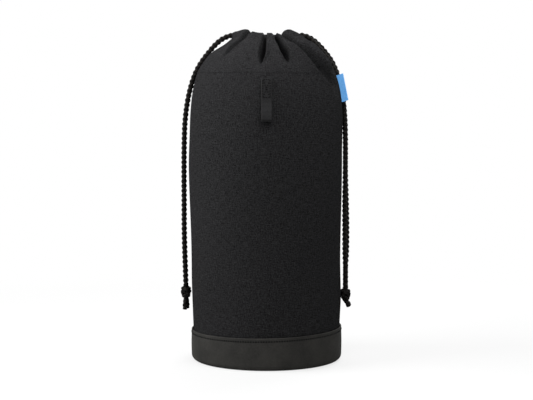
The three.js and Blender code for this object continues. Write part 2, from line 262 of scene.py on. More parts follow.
# Every pattern takes a place in millimetres and a pitch, and gives a height and a tone.
def newGroup(name):
    group = bpy.data.node_groups.new(name, "ShaderNodeTree")
    for label, kind in (("Place", "NodeSocketVector"), ("Pitch", "NodeSocketFloat")):
        group.interface.new_socket(name=label, in_out="INPUT", socket_type=kind)
    for label in ("Height", "Tone"):
        group.interface.new_socket(name=label, in_out="OUTPUT", socket_type="NodeSocketFloat")
    given = group.nodes.new("NodeGroupInput").outputs
    return group, given["Place"], given["Pitch"], group.nodes.new("NodeGroupOutput")


# Plain weave: warp and weft threads take turns on top, and each is a little lighter or darker along it.
def makeWeave():
    group, place, pitch, result = newGroup("plainWeave")
    x, y = parts(group, place)
    rate = calc(group, "DIVIDE", math.pi, pitch)
    warp, weft = wave(group, x, rate), wave(group, y, rate)
    onTop = calc(group, "MULTIPLY_ADD", times(group, warp, weft), 3.0, 0.5, clamp=True)
    underneath = calc(group, "SUBTRACT", 1.0, onTop)
    height = weighted(group, times(group, warp, warp), onTop, times(group, weft, weft), underneath)
    warpTone = noise(group, place, (1.5, 0.22, 1))
    weftTone = noise(group, place, (0.22, 1.5, 1))
    speck = noise(group, place, (0.95, 0.95, 1), 3.0, 0.7)
    threads = weighted(group, warpTone, onTop, weftTone, underneath)
    tone = weighted(group, threads, 0.5, speck, 0.5)
    connect(group, result, {"Height": height, "Tone": contrast(group, tone, 3.0)})
    return group


# Grain: pebbles between fine creases, with broad soft patches.
def makeGrain():
    group, place, pitch, result = newGroup("hideGrain")
    shrunk = scaled(group, place, calc(group, "DIVIDE", 1.0, pitch))
    cells = addNode(group, "TexVoronoi", {"Vector": shrunk, "Scale": 1}, feature="DISTANCE_TO_EDGE")
    pebble = calc(group, "MULTIPLY", cells.outputs["Distance"], 2.2, clamp=True)
    patch = noise(group, place, (0.06, 0.06, 0.06), 3.0)
    fine = noise(group, place, (1.1, 1.1, 1.1), 2.0)
    height = calc(group, "MULTIPLY_ADD", fine, 0.35, pebble)
    tone = weighted(group, patch, 0.6, fine, 0.4)
    connect(group, result, {"Height": height, "Tone": contrast(group, tone, 2.2)})
    return group


# Ribs across a narrow tape, broken up by its lengthwise threads and the yarn's own unevenness.
def makeRibs():
    group, place, pitch, result = newGroup("tapeRibs")
    x, y = parts(group, place)
    rate = calc(group, "DIVIDE", 2 * math.pi, pitch)
    rib = wave(group, y, rate)
    thread = wave(group, x, times(group, rate, 0.8))
    ribHeight = calc(group, "MULTIPLY_ADD", rib, 0.35, 0.5)
    height = calc(group, "MULTIPLY_ADD", times(group, rib, thread), 0.3, ribHeight)
    yarn = noise(group, place, (0.8, 1.6, 1), 3.0, 0.65)
    # Half the tone is the rib height, so the grooves between ribs are darker: painted shade. The other half
    # is the yarn's own unevenness.
    tone = weighted(group, height, 0.5, yarn, 0.5)
    connect(group, result, {"Height": height, "Tone": contrast(group, tone, 1.8)})
    return group


# Braid: the place counts strands round the cord and plaits along it. Strands that wind either way take turns
# on top; each is high along its middle and low in the creases beside it.
def makeBraid():
    group, place, pitch, result = newGroup("roundBraid")
    x, y = parts(group, place)
    along = calc(group, "DIVIDE", y, pitch)
    oneWay = calc(group, "ADD", x, along)
    otherWay = calc(group, "SUBTRACT", x, along)
    steps = calc(group, "ADD", calc(group, "FLOOR", oneWay), calc(group, "FLOOR", otherWay))
    onTop = calc(group, "COMPARE", calc(group, "FLOORED_MODULO", steps, 2.0), 0.0, 0.5)
    across = weighted(group, oneWay, onTop, otherWay, calc(group, "SUBTRACT", 1.0, onTop))
    crown = wave(group, calc(group, "FRACT", across), math.pi)
    yarn = calc(group, "SUBTRACT", noise(group, place, (6, 2, 1), 2.0), 0.5)
    # The tone follows the crown, so the creases between strands are darker: painted shade, with the yarn's
    # own unevenness on top.
    tone = calc(group, "MULTIPLY_ADD", yarn, 0.6, calc(group, "POWER", crown, 1.6), clamp=True)
    connect(group, result, {"Height": crown, "Tone": tone})
    return group


groups = {"weave": makeWeave(), "grain": makeGrain(), "ribs": makeRibs(), "braid": makeBraid()}


# A finish: its pattern mixes a dark and a light colour, moves between two roughnesses and raises a relief of
# a strength and a height. Solid finishes read the object's own places, the others the cloth's.
def makeFinish(name, pattern, pitch, dark, light, rough, relief, gloss, solid=False):
    material = bpy.data.materials.new(name)
    material.use_nodes = True
    tree = material.node_tree
    place = tree.nodes.new("ShaderNodeTexCoord").outputs["Object" if solid else "UV"]
    if solid:
        place = scaled(tree, place, 1 / toMetres)
    cloth = addNode(tree, "Group", {"Place": place, "Pitch": pitch}, node_tree=groups[pattern])
    tone, height = cloth.outputs["Tone"], cloth.outputs["Height"]
    mixed = {"Factor": tone, "A": fromScreen(*dark), "B": fromScreen(*light)}
    raised = {"Strength": relief[0], "Distance": relief[1] * toMetres, "Height": height}
    connect(tree, tree.nodes["Principled BSDF"], {
        "Base Color": addNode(tree, "Mix", mixed, data_type="RGBA").outputs["Result"],
        "Roughness": calc(tree, "MULTIPLY_ADD", tone, rough[1] - rough[0], rough[0]),
        "Normal": addNode(tree, "Bump", raised).outputs["Normal"],
        "Specular IOR Level": gloss,
    })
    return material


# Material name, pattern, pitch, dark and light colour, roughness, relief, gloss, and whether it is solid.
# In the ribs and braid patterns the dark colour goes to the grooves and creases, partly as painted shade.
finishes = {
    "cover": ("coverCloth", "weave", 0.78, (5, 5, 5), (48, 48, 49), (1, 0.95), (0.5, 0.3), 0.0),
    "lining": ("liningCloth", "weave", 0.42, (24, 24, 26), (42, 42, 45), (0.75, 0.65), (0.3, 0.12), 0.1),
    "band": ("bandLeatherette", "grain", 1.1, (38, 38, 37), (55, 54, 52), (0.7, 0.75), (0.25, 0.12), 0.01,
             True),
    "board": ("boardFibre", "grain", 0.6, (96, 88, 76), (126, 117, 102), (0.8, 0.9), (0.3, 0.1), 0.5, True),
    "foam": ("foamCells", "grain", 0.8, (66, 67, 71), (92, 93, 98), (0.9, 1.0), (0.6, 0.3), 0.5, True),
    "thread": ("threadTwist", "ribs", 0.5, (6, 6, 7), (22, 22, 23), (0.8, 0.7), (0.4, 0.1), 0.1, True),
    "darkThread": ("darkThreadTwist", "ribs", 0.5, (1, 1, 1), (8, 8, 9), (0.8, 0.7), (0.4, 0.1), 0.1, True),
    "webbing": ("webbingRibs", "ribs", 0.9, (16, 16, 16), (44, 44, 45), (0.9, 0.8), (0.5, 0.25), 0.05),
    "label": ("labelSatin", "weave", 0.3, (90, 154, 216), (110, 174, 234), (0.6, 0.5), (0.25, 0.08), 0.2),
    "cord": ("cordBraid", "braid", 1.0, (3, 3, 3), (27, 25, 23), (0.85, 0.75), (0.4, 0.15), 0.06),
}
finish = {name: makeFinish(*row) for name, row in finishes.items()}
print("finishes:", len(finish))


# A smooth line through points: cubic pieces with slopes from the neighbours, weighted by the distances.
def smoothLine(points, step):
    points = np.asarray(points, float)
    at = lengthsAlong(points)
    slope = np.diff(points, axis=0) / np.diff(at)[:, None]
    before, after = np.diff(at)[:-1, None], np.diff(at)[1:, None]
    middle = (slope[:-1] * after + slope[1:] * before) / (before + after)
    slopes = np.concatenate([slope[:1], middle, slope[-1:]])
    t = np.linspace(0, at[-1], max(8, int(at[-1] / step)))
    k = np.clip(np.searchsorted(at, t, side="right") - 1, 0, len(points) - 2)
    span = (at[k + 1] - at[k])[:, None]
    x = (t - at[k])[:, None] / span
    return ((2 * x**3 - 3 * x**2 + 1) * points[k] + (x**3 - 2 * x**2 + x) * span * slopes[k]
            + (3 * x**2 - 2 * x**3) * points[k + 1] + (x**3 - x**2) * span * slopes[k + 1])


braid = {"strands": 2, "plait": 3.6, "relief": 0.4, "middle": 0.74, "taper": 0.6, "tip": 0.02,
         "rounding": 0.7, "crest": (0.55, 0.45)}


# Strands wind both ways and take turns on top; each is round across its width and lower at its ends.
def braidRelief(turn, along):
    wound = braid["strands"] * turn / (2 * np.pi)
    oneWay, otherWay = wound + along / braid["plait"], wound - along / braid["plait"]
    onTop = (np.floor(oneWay) + np.floor(otherWay)) % 2 == 0
    across, lengthwise = np.where(onTop, oneWay, otherWay), np.where(onTop, otherWay, oneWay)
    low, more = braid["crest"]
    return np.sin(np.pi * (across % 1)) ** braid["rounding"] * (low + more * np.sin(np.pi * (lengthwise % 1)))


# A cord: a ring of points carried along a line, raised by the braid, with rounded ends.
def cordTube(line, radius, sides, facing, relief=braid["relief"]):
    tangent = unit(np.gradient(line, axis=0))
    side = unit(np.cross(tangent, np.broadcast_to(facing, line.shape)))
    rise = np.cross(side, tangent)
    along = lengthsAlong(line)
    turn = np.linspace(0, 2 * np.pi, sides, endpoint=False)
    fromEnd = np.minimum(along, along[-1] - along) / braid["taper"]
    ends = np.sqrt(np.clip(1 - (1 - np.clip(fromEnd, braid["tip"], 1)) ** 2, 0, 1))
    bump = braidRelief(turn[None, :], along[:, None])
    reach = radius * ends[:, None] * (1 + relief * (bump - braid["middle"]))
    ring = np.cos(turn)[None, :, None] * side[:, None] + np.sin(turn)[None, :, None] * rise[:, None]
    points = line[:, None] + reach[..., None] * ring
    places = gridPlaces(np.linspace(0, braid["strands"], sides + 1), along / braid["plait"])
    return points.reshape(-1, 3), *tubeFaces(len(line), sides), places


def cordPiece(name, tubes):  # one piece from one or more cords
    points, (quads, caps) = joinShells(tubes)
    places = np.concatenate([tube[3] for tube in tubes])
    return makePiece(name, points, [quads, caps], [places, noPlaces(caps)], finish["cord"])


# Free cords: rows are x, z and how far the two strands stand apart there; knots are x, z. Each strand starts
# inside its casing, and the right ones pass a little behind the tab.
cords = {
    "diameter": 3.7, "spacing": 4.2, "step": 0.42, "sides": 22, "startSide": 21.5, "startHeight": 243.4,
    "tabHeight": 204, "tabReach": 18, "knotHeight": 10.7, "intoKnot": 0.4, "gather": 0.8,
    "left": {
        "rows": [[-26.5, 244.6, 0], [-31, 243.2, 0], [-34.9, 240.9, 0], [-38.2, 238, 0], [-43.5, 232, 0],
                 [-48.1, 226, 0], [-51.8, 220, 0], [-55.6, 211, 0], [-57.9, 203, 0], [-59.4, 196, 0],
                 [-61.4, 181, 0], [-62.1, 166, 0], [-62.4, 143, 0], [-62.4, 121, 0], [-62.4, 98, 0],
                 [-61.7, 69, 0]],
        "knot": [-61.3, 50.8], "tails": [[-62.1, 37.2], [-60.4, 37.6]], "ridge": 8, "behind": 0.0,
    },
    "right": {
        "rows": [[26.5, 244.8, 0], [31, 243.6, 0.6], [34.7, 241.1, 1.1], [37.9, 238.2, 1.2],
                 [43.3, 232.2, 1.2], [48.0, 226, 1.0], [51.3, 220, 0.7], [54.1, 213.5, 0.3], [56, 206, 0],
                 [57.9, 196, 0], [59.2, 181, 0], [59.6, 166, 0], [59.7, 143, 0.2], [59.9, 121, 0.7],
                 [60.2, 98.5, 0.9], [60.2, 80, 0.7], [60.1, 68, 0.1]],
        "knot": [60.1, 49], "tails": [[62.7, 39.3], [63.4, 39.8]], "ridge": 4, "behind": 2.4,
    },
}

# One strand of an overhand knot about its middle: in at the top, round the front and back, out below.
knotTurns = np.array([[0.6, 0.4, 5.6], [0.2, 0.0, 3.0], [-1.5, -1.4, 0.4], [-0.7, -2.0, -2.4],
                      [1.7, -0.8, -3.0], [2.4, 1.2, -0.5], [0.9, 2.2, 2.0], [-1.8, 1.1, 2.6],
                      [-2.3, -1.5, 1.7], [0.5, -2.7, 1.4], [2.4, -1.1, 0.5], [1.7, 1.2, -1.7],
                      [0.4, 0.7, -4.2]])
knot = {"squeeze": 0.82, "turn": 165, "thin": 0.97, "step": 0.3, "sides": 16, "drop": 7, "lean": 0.6,
        "gather": 0.7, "offMiddle": (0, 0.01, 0.3), "sideways": (1, 1, 0.2)}


# A strand's knot: the turns, set about the knot's middle, then a tail. The back strand's turns are those of
# the front one, turned nearly half round, so that the two lie in each other's spaces.
def knotTube(spec, sign, tail):
    x, z = spec["knot"]
    depth = sign * cords["spacing"] / 2
    a = math.radians(0 if sign < 0 else knot["turn"])
    spin = np.array([[math.cos(a), -math.sin(a), 0], [math.sin(a), math.cos(a), 0], [0, 0, 1]])
    wraps = (knotTurns * (knot["squeeze"] * np.sign(x), 1, 1)) @ spin.T + (x, 0, z)
    leaving = [x + (tail[0] - x) * knot["lean"], depth * knot["gather"], z - knot["drop"]]
    line = smoothLine(np.concatenate([wraps, [leaving, [tail[0], depth, tail[1]]]]), knot["step"])
    outwards = (line - (x, 0, z) + knot["offMiddle"]) * knot["sideways"]
    return cordTube(line, cords["diameter"] / 2 * knot["thin"], knot["sides"], outwards)


# Cords: each strand runs from its casing through its rows into its knot, front and back one spacing apart.
def makeCords():
    for side in ("left", "right"):
        spec = cords[side]
        knotX, knotZ = spec["knot"]
        outwards = np.sign(knotX)
        x, z, spread = np.array(spec["rows"]).T
        behind = spec["behind"] * bell((z - cords["tabHeight"]) / cords["tabReach"])
        knotTubes = []
        for place, sign, tail in (("front", -1, spec["tails"][0]), ("back", 1, spec["tails"][1])):
            depth = sign * cords["spacing"] / 2
            start = [[outwards * cords["startSide"], depth, cords["startHeight"]]]
            route = np.stack([x + sign * spread, depth + behind, z], -1)
            end = [[knotX, depth * cords["gather"], knotZ + cords["knotHeight"] / 2 - cords["intoKnot"]]]
            line = smoothLine(np.concatenate([start, route, end]), cords["step"])
            tube = cordTube(line, cords["diameter"] / 2, cords["sides"], (0, 1, 0))
            strand = cordPiece(side + "Cord" + place.capitalize(), [tube])
            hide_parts(f"{side}_cord_{place}")
            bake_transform(strand)
            knotTubes.append(knotTube(spec, sign, tail))
        settle(cordPiece(side + "Knot", knotTubes), "pouch", "cord", side + "_knot")


makeCords()
print("cords done")


# The body stands straight behind the band, swells to the belly and draws in to the hem.
body = {"foot": 55.6, "belly": 57.8, "bellyHeight": 155, "hem": 52.0, "hemHeight": 217.0, "bandHeight": 23.0}


def bodyRadius(height):
    rise = np.clip((height - body["bandHeight"]) / (body["bellyHeight"] - body["bandHeight"]), 0, 1)
    low = body["foot"] + (body["belly"] - body["foot"]) * np.sin(np.pi / 2 * rise)
    drawIn = np.clip((height - body["bellyHeight"]) / (body["hemHeight"] - body["bellyHeight"]), 0, None) ** 4
    return np.where(height < body["bellyHeight"], low, body["belly"] - (body["belly"] - body["hem"]) * drawIn)


# Folds of the gathered top, one for each valley: azimuth at the hem and at the rim, depth at the hem and
# towards the rim, width, the rise it starts at, the rise it deepens over, and the roll of cloth beside it.
# Rise is 0 at the hem, 1 at the rim and negative below.
folds = {
    "hemAzimuth": [-51.0, -5.5, 21, 56.5, 106, 152, 200, 252],
    "rimAzimuth": [-33.0, -2.5, 16, 30, 122, 153, 204, 237],
    "hemDepth": [0.0, 0.0, 0.0, 5.8, 0.6, 0.6, 0.6, 0.6],
    "depth": [8.0, 10.5, 10.5, 13.0, 7.5, 7.5, 7.5, 7.0],
    "width": [3.3, 2.4, 3.2, 4.6, 5.0, 5.0, 5.0, 5.0],
    "start": [0.34, 0.14, 0.18, -0.08, 0.1, 0.12, 0.14, 0.1],
    "climb": [0.3, 0.34, 0.34, 0.5, 0.4, 0.4, 0.4, 0.4],
    "roll": [0.0, 0.0, 0.0, 3.4, 0.0, 0.0, 0.0, 0.0],
}
# What all folds share. Every range is a start and a length.
foldForm = {"below": 0.75, "rimLoss": 0.45, "rimRange": (0.7, 0.3), "thin": 0.35, "fullDepth": 5,
            "narrowing": 0.6, "steepness": 2.7, "swell": 0.17, "swellAt": 1.75, "swellWidth": 0.6,
            "swellRange": (0.5, 0.35), "rollAt": 11, "rollWidth": 4.4, "rollRange": (0.55, 0.3),
            "rollFrom": 0.2, "turnsFrom": -0.35, "widestAt": -0.2}
cordBed = {"azimuth": 90, "depth": 2.1, "width": 3.0, "below": 0.35, "range": (0.7, 0.2)}
collar = {"rim": 23.0, "rimHeight": 245.0, "bulge": (44.0, 233.0), "cloth": 1.3, "casing": 5.0,
          "casingFrom": 0.84, "casingSwell": 0.7, "seamDip": 0.12, "seamWidth": 0.018,
          "levelTo": 0.3, "firstRises": (0.003, 0.02), "thickens": (-0.01, 0.05), "rimSteps": 12}


def past(x, span):  # 0 before a range, 1 after it
    return smooth((x - span[0]) / span[1])


def valleyAzimuth(i, rise):  # moves evenly from its place at the hem to its place at the rim
    hem, rim = folds["hemAzimuth"][i % 8], folds["rimAzimuth"][i % 8]
    return hem + (rim - hem) * np.clip(rise, foldForm["turnsFrom"], 1)


# How far the folds push the cloth in: each is a valley with a low swell along both sides, which deepens and
# narrows up the collar and dies out below the hem. The fourth has a roll of cloth on its right. The cord bed
# is a shallow trough under the nearer strand on the right.
def foldPush(azimuth, rise):
    form = foldForm
    total = 0
    radius = body["hem"] + (collar["rim"] - body["hem"]) * np.clip(rise, 0, 1)
    for i in range(8):
        beside = np.radians(apart(azimuth, valleyAzimuth(i, rise))) * radius
        up = smooth((rise - folds["start"][i]) / folds["climb"][i])
        hem = folds["hemDepth"][i] * smooth(1 + np.minimum(rise, 0) / form["below"])
        deep = (hem + (folds["depth"][i] - hem) * up) * (1 - form["rimLoss"] * past(rise, form["rimRange"]))
        opened = form["thin"] + (1 - form["thin"]) * np.maximum(up, hem / form["fullDepth"])
        width = folds["width"][i] * (1 - form["narrowing"] * np.clip(rise, form["widestAt"], 1)) * opened
        across = np.abs(beside) / width
        swell = form["swell"] * bell((across - form["swellAt"]) / form["swellWidth"])
        valley = np.exp(-across ** form["steepness"]) - swell * (1 - past(rise, form["swellRange"]))
        roll = folds["roll"][i] * bell((beside - form["rollAt"]) / form["rollWidth"])
        roll = roll * (1 - past(rise, form["rollRange"])) * smooth(rise / form["rollFrom"])
        total = total + deep * valley - roll
    beside = np.radians(apart(azimuth, cordBed["azimuth"])) * radius + cords["spacing"] / 2
    lies = smooth((rise + cordBed["below"]) / cordBed["below"]) * (1 - past(rise, cordBed["range"]))
    return total + cordBed["depth"] * lies * bell(beside / cordBed["width"])


# Slow unevenness of padded cloth: waves round the wall, each with its height, its number round, its drift
# upwards and its start, and one that sways as it goes up.
wallWaves = [(0.30, 3, 0.021, 0.6), (0.22, 5, -0.034, 2.1), (0.16, 8, 0.05, 0.0)]
sway = {"size": 0.18, "drift": 0.055, "reach": 1.3}


def unevenness(azimuth, height):
    a = np.radians(azimuth)
    total = sway["size"] * np.sin(sway["drift"] * height + sway["reach"] * np.sin(2 * a))
    for size, number, drift, start in wallWaves:
        total = total + size * np.sin(number * a + drift * height + start)
    return total


coverWall = {"columns": 288, "rows": 150, "thickness": 1.0, "bottom": 5.0, "edge": 0.08, "riseHeight": 29.0,
             "foldsFrom": (-0.9, 0.3), "seamAzimuth": 84.0, "seamDepth": 0.5, "seamWidth": 0.9,
             "free": (24, 25), "sewn": (220, 20),
             "flatter": {"by": 1.0, "low": 40, "high": 195, "fade": 40},
             "fuller": {"by": 0.7, "low": 35, "high": 175, "fade": 30},
             "finish": "cover", "slot": "cover_cloth", "node": "body_cover", "fill": 0.55}


def riseAt(height):  # the height above the hem, over the collar's height
    return (height - body["hemHeight"]) / coverWall["riseHeight"]


# Cover: the body's radius, less the folds that run on below the hem, the straighter right side and the side
# seam, plus the fuller left side and the padding's unevenness.
def coverRadius(azimuth, height):
    wall = coverWall
    toRight = np.sin(np.radians(azimuth))
    free = past(height, wall["free"])
    flatter = wall["flatter"]["by"] * np.clip(toRight, 0, 1) ** 2 * between(height, wall["flatter"])
    fuller = wall["fuller"]["by"] * np.clip(-toRight, 0, 1) ** 2 * between(height, wall["fuller"])
    pushed = foldPush(azimuth, riseAt(height)) * past(riseAt(height), wall["foldsFrom"])
    waves = unevenness(azimuth, height) * free * smooth((wall["sewn"][0] - height) / wall["sewn"][1])
    fromSeam = np.radians(apart(azimuth, wall["seamAzimuth"])) * body["belly"]
    sunk = wall["seamDepth"] * bell(fromSeam / wall["seamWidth"]) * free
    return bodyRadius(height) - pushed - flatter + fuller + waves - sunk


# A piece whose grid closes both round the axis and up and down; the radius gives its cloth's width.
def closedPiece(name, grid, radius, spec, merge=False):
    rows, columns = grid.shape[:2]
    across = np.linspace(0, 2 * np.pi * radius, columns + 1)
    places = gridPlaces(across, lengthsAlong(grid[:, 0], closed=True))
    quads = gridQuads(rows, columns, True, True)
    piece = makePiece(name, grid, [quads], [places], finish[spec["finish"]], merge)
    settle(piece, "pouch", spec["slot"], spec["node"])


# A wall round the axis: rows go up its outer face and down its inner face.
def roundWall(name, outer, spec, heights):
    azimuth = np.linspace(-180, 180, spec["columns"], endpoint=False)[None, :]
    rising, falling = heights[:, None], heights[::-1, None]
    outside = polar(azimuth, outer(azimuth, rising), rising)
    inside = polar(azimuth, outer(azimuth, falling) - spec["thickness"], falling)
    closedPiece(name, np.concatenate([outside, inside]), body["belly"], spec)


foamWall = {"bottom": 3.7, "top": 205, "rows": 60, "columns": 96, "gap": 1.3, "thickness": 3.0,
            "finish": "foam", "slot": "foam", "node": "body_padding", "fill": 0.8}
liningWall = {"bottom": 3.7, "top": body["hemHeight"], "rows": 90, "columns": 192, "thickness": 0.8,
              "gap": 0.3, "depth": 4.6, "outAtHem": 3.3, "outRange": (205.3, 11.7), "follows": 0.4,
              "folds": 0.6, "wrinkle": 0.25, "wrinkles": 11, "drift": 0.04,
              "wrinkled": {"low": 8, "high": 214, "fade": 20},
              "finish": "lining", "slot": "lining_cloth", "node": "body_lining"}


def foamOuter(azimuth, height):  # a gap inside the body or the cover, whichever is nearer the axis
    return np.minimum(bodyRadius(height), coverRadius(azimuth, height)) - foamWall["gap"]


# Lining: partly follows the cover's form, wrinkles a little and comes out to meet the cover at the hem.
def liningOuter(azimuth, height):
    wall = liningWall
    wrinkle = wall["wrinkle"] * np.sin(np.radians(azimuth) * wall["wrinkles"] + wall["drift"] * height)
    depth = wall["depth"] - wall["outAtHem"] * past(height, wall["outRange"]) + wall["gap"]
    form = coverRadius(azimuth, height) * wall["follows"] + bodyRadius(height) * (1 - wall["follows"])
    return (form - depth + wrinkle * between(height, wall["wrinkled"])
            - wall["folds"] * foldPush(azimuth, riseAt(height)))


# The cover's rows crowd towards the hem, as a sine does; those of the foam and the lining are even.
def makeBody():
    low, top = coverWall["bottom"], body["hemHeight"]
    rise = np.sin(np.linspace(0, 1, coverWall["rows"]) * np.pi / 2) ** 0.9
    heights = np.concatenate([low + (top - low) * rise[:-1], [top - coverWall["edge"], top]])
    roundWall("bodyCover", coverRadius, coverWall, heights)
    for name, outer, spec in (("bodyFoam", foamOuter, foamWall), ("bodyLining", liningOuter, liningWall)):
        roundWall(name, outer, spec, np.linspace(spec["bottom"], spec["top"], spec["rows"]))


makeBody()
print("body done")


# A turned piece: a closed profile of radius and height carried round the axis; a slant lifts its right side.
def turnedPiece(name, outline, spec, slant=None, merge=False):
    profile = np.concatenate(outline)
    azimuth = np.linspace(-180, 180, spec["columns"], endpoint=False)
    lift = 0 if slant is None else slant(profile[:, 1])[:, None] * np.sin(np.radians(azimuth))[None, :]
    grid = polar(azimuth[None, :], profile[:, :1], profile[:, 1:] + lift)
    closedPiece(name, grid, profile[:, 0].max(), spec, merge)


def arc(centre, radius, start, end, count):  # points round part of a circle, angles from level in degrees
    a = np.radians(np.linspace(start, end, count))
    return np.stack([centre[0] + radius * np.cos(a), centre[1] + radius * np.sin(a)], -1)


band = {"radius": 57.0, "inner": 55.95, "height": 24.4, "corner": (53.0, 4.0), "rounding": 4.0,
        "leather": 1.1, "lip": 0.6, "lipIn": 0.58, "stitchDrop": 2.5, "pinch": 0.08, "pinchWidth": 0.55,
        "bow": 0.2, "bowHeight": 17, "slant": 1.1, "slantRange": (6, 14), "columns": 240,
        "wallEnds": (0.2, 1.2), "wallRows": 44, "insideEnds": (0.4, 1.4), "insideRows": 10, "lipTurn": 150,
        "lipSteps": 14, "underSteps": 8, "bottomSteps": 12,
        "finish": "band", "slot": "leatherette", "node": "base_band"}
# Discs of the base: outlines of radius and height under and over a rounded edge.
baseDiscs = {
    "baseSole": {"under": [[0, 0.0], [15, 0.0], [30, 0.0], [44, 0.05], [50, 0.1]], "edge": (52.3, 0.55),
                 "rounding": 0.4, "steps": 8, "over": [[50, 1.05], [30, 1.1], [0, 1.1]], "columns": 128,
                 "finish": "band", "slot": "leatherette", "node": "base_sole"},
    "basePad": {"under": [[0, 3.7], [30, 3.7], [48, 3.7]], "edge": (48.6, 5.1), "rounding": 1.35,
                "steps": 9, "over": [[46, 6.6], [30, 6.7], [0, 6.7]], "columns": 96,
                "finish": "foam", "slot": "foam", "node": "base_pad", "fill": 0.7},
    "baseLining": {"under": [[0, 7.0], [30, 7.0], [46, 6.95]], "edge": (49.4, 7.4), "rounding": 0.42,
                   "steps": 7, "over": [[47, 7.85], [30, 8.1], [12, 8.15], [0, 8.15]], "columns": 128,
                   "finish": "lining", "slot": "lining_cloth", "node": "base_lining"},
}


def bandSlant(height):  # the sewn top edge runs a little uphill to the right
    return band["slant"] * past(height, band["slantRange"])


# Band: rounded bottom edge, straight side, a dent along the stitching and a folded lip above it.
def makeBase():
    top, low = band["height"], band["corner"][1]
    (wallLow, wallTop), (insideLow, insideTop) = band["wallEnds"], band["insideEnds"]
    wall = np.linspace(low + wallLow, top - wallTop, band["wallRows"])
    dent = band["pinch"] * bell((wall - top + band["stitchDrop"]) / band["pinchWidth"])
    bow = band["bow"] * np.sin(np.pi * (wall - low) / band["bowHeight"])
    side = np.stack([band["radius"] + bow - dent, wall], -1)
    lipMiddle = (band["radius"] - band["lipIn"], top - band["lip"])
    lip = arc(lipMiddle, band["lip"], 0, band["lipTurn"], band["lipSteps"])
    fall = np.linspace(top - insideTop, low + insideLow, band["insideRows"])
    inside = np.stack([np.full(len(fall), band["inner"]), fall], -1)
    under = arc(band["corner"], band["rounding"] - band["leather"], 0, -90, band["underSteps"])
    bottom = arc(band["corner"], band["rounding"], -90, 0, band["bottomSteps"])
    turnedPiece("baseBand", [bottom, side, lip, inside, under], band, bandSlant)
    for name, disc in baseDiscs.items():
        edge = arc(disc["edge"], disc["rounding"], -90, 90, disc["steps"])
        turnedPiece(name, [disc["under"], edge, disc["over"]], disc, merge=True)
    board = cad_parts["base_board"].data.materials
    board.clear()
    board.append(finish["board"])


makeBase()
print("base done")

# One stitch along its length: where its five rings lie, how big they are and how far their ends dip.
stitch = {"rings": np.array([-0.5, -0.36, 0, 0.36, 0.5]), "size": np.array([0.35, 0.85, 1, 0.85, 0.35]),
          "dip": np.array([-0.5, 0, 0.25, 0, -0.5]), "sides": 6}


# Stitches: one small rounded bar, copied to places along a row, each turned to the row and the cloth.
def stitchRow(centre, along, outward, spec):
    sides = stitch["sides"]
    turn = np.linspace(0, 2 * np.pi, sides, endpoint=False)
    size, thick = stitch["size"][:, None], spec["thickness"]
    x = np.repeat(stitch["rings"] * spec["length"], sides)
    y = (size * np.cos(turn) * spec["width"] / 2).ravel()
    z = (size * np.sin(turn) * thick / 2 + (stitch["dip"] * thick)[:, None]).ravel()
    along, outward = unit(along), unit(outward)
    axes = np.stack([along, np.cross(outward, along), outward], 1)
    points = centre[:, None] + np.stack([x, y, z], -1) @ axes
    shift = (np.arange(len(centre)) * len(x))[:, None, None]
    quads, ends = tubeFaces(len(stitch["rings"]), sides)
    return points.reshape(-1, 3), (quads + shift).reshape(-1, 4), (ends + shift).reshape(-1, sides)


def stitchPiece(name, rows, material, node):  # one piece from one or more rows of stitches
    points, (quads, caps) = joinShells(rows)
    piece = makePiece(name, points, [quads, caps], [noPlaces(quads), noPlaces(caps)], material)
    settle(piece, "pouch", "thread", node)


hemStitches = {"height": 216.4, "pitch": 1.84, "length": 1.0, "width": 0.85, "thickness": 0.42, "slant": -0.3,
               "proud": 0.08, "tilt": 0.15, "countAt": 215.0, "ahead": 0.5}
bandStitches = {"pitch": 1.92, "length": 1.35, "width": 1.15, "thickness": 0.42, "proud": 0.08}


def stitchAzimuths(radius, spec):  # as many as the pitch allows, evenly round a circle
    return np.linspace(-180, 180, int(2 * np.pi * radius / spec["pitch"]), endpoint=False)


# Rows of stitches round the hem and the band, a little proud of the cloth, each sloping from left to right.
def makeStitches():
    spec = hemStitches
    azimuth = stitchAzimuths(bodyRadius(spec["countAt"]), spec)
    height = spec["height"] + spec["slant"] * np.sin(np.radians(azimuth))
    centre = polar(azimuth, coverRadius(azimuth, height) + spec["proud"], height)
    further = azimuth + spec["ahead"]
    ahead = polar(further, coverRadius(further, height) + spec["proud"], height)
    row = stitchRow(centre, ahead - centre, polar(azimuth, 1.0, spec["tilt"]), spec)
    stitchPiece("hemStitch", [row], finish["thread"], "hem_stitch")

    spec = bandStitches
    azimuth = stitchAzimuths(band["radius"], spec)
    drop = band["height"] - band["stitchDrop"]
    height = drop + bandSlant(np.array(drop)) * np.sin(np.radians(azimuth))
    centre = polar(azimuth, band["radius"] - band["pinch"] + spec["proud"], height)
    row = stitchRow(centre, polar(azimuth + 90, 1.0, 0.0), polar(azimuth, 1.0, 0.0), spec)
    stitchPiece("bandStitch", [row], finish["darkThread"], "band_stitch")


makeStitches()
print("stitching done")

# Lobes of the rim: azimuth, spread and height. The left side is drawn in and turns out again at the rim.
rimLobes = [(50, 20, 3.4), (-44, 20, 3.2), (-82, 26, 2.2), (92, 25, 1.2), (0, 25, 0.6), (180, 40, 1.0)]
leftDraw = {"azimuth": -90, "spread": 42, "in": 4.0, "inRange": (0.42, 0.3), "out": 5.5,
            "outRange": (0.8, 0.2)}


def rimLift(azimuth):  # the sum of the lobes, each a bell about its azimuth
    return sum(height * bell(apart(azimuth, middle) / spread) for middle, spread, height in rimLobes)


def bend(rise, start, pull, end):  # a curve that sets out towards the pull and arrives from it
    return (1 - rise) ** 2 * start + 2 * rise * (1 - rise) * pull + rise**2 * end


def bendSlope(rise, start, pull, end):  # how fast that curve changes
    return 2 * (1 - rise) * (pull - start) + 2 * rise * (end - pull)


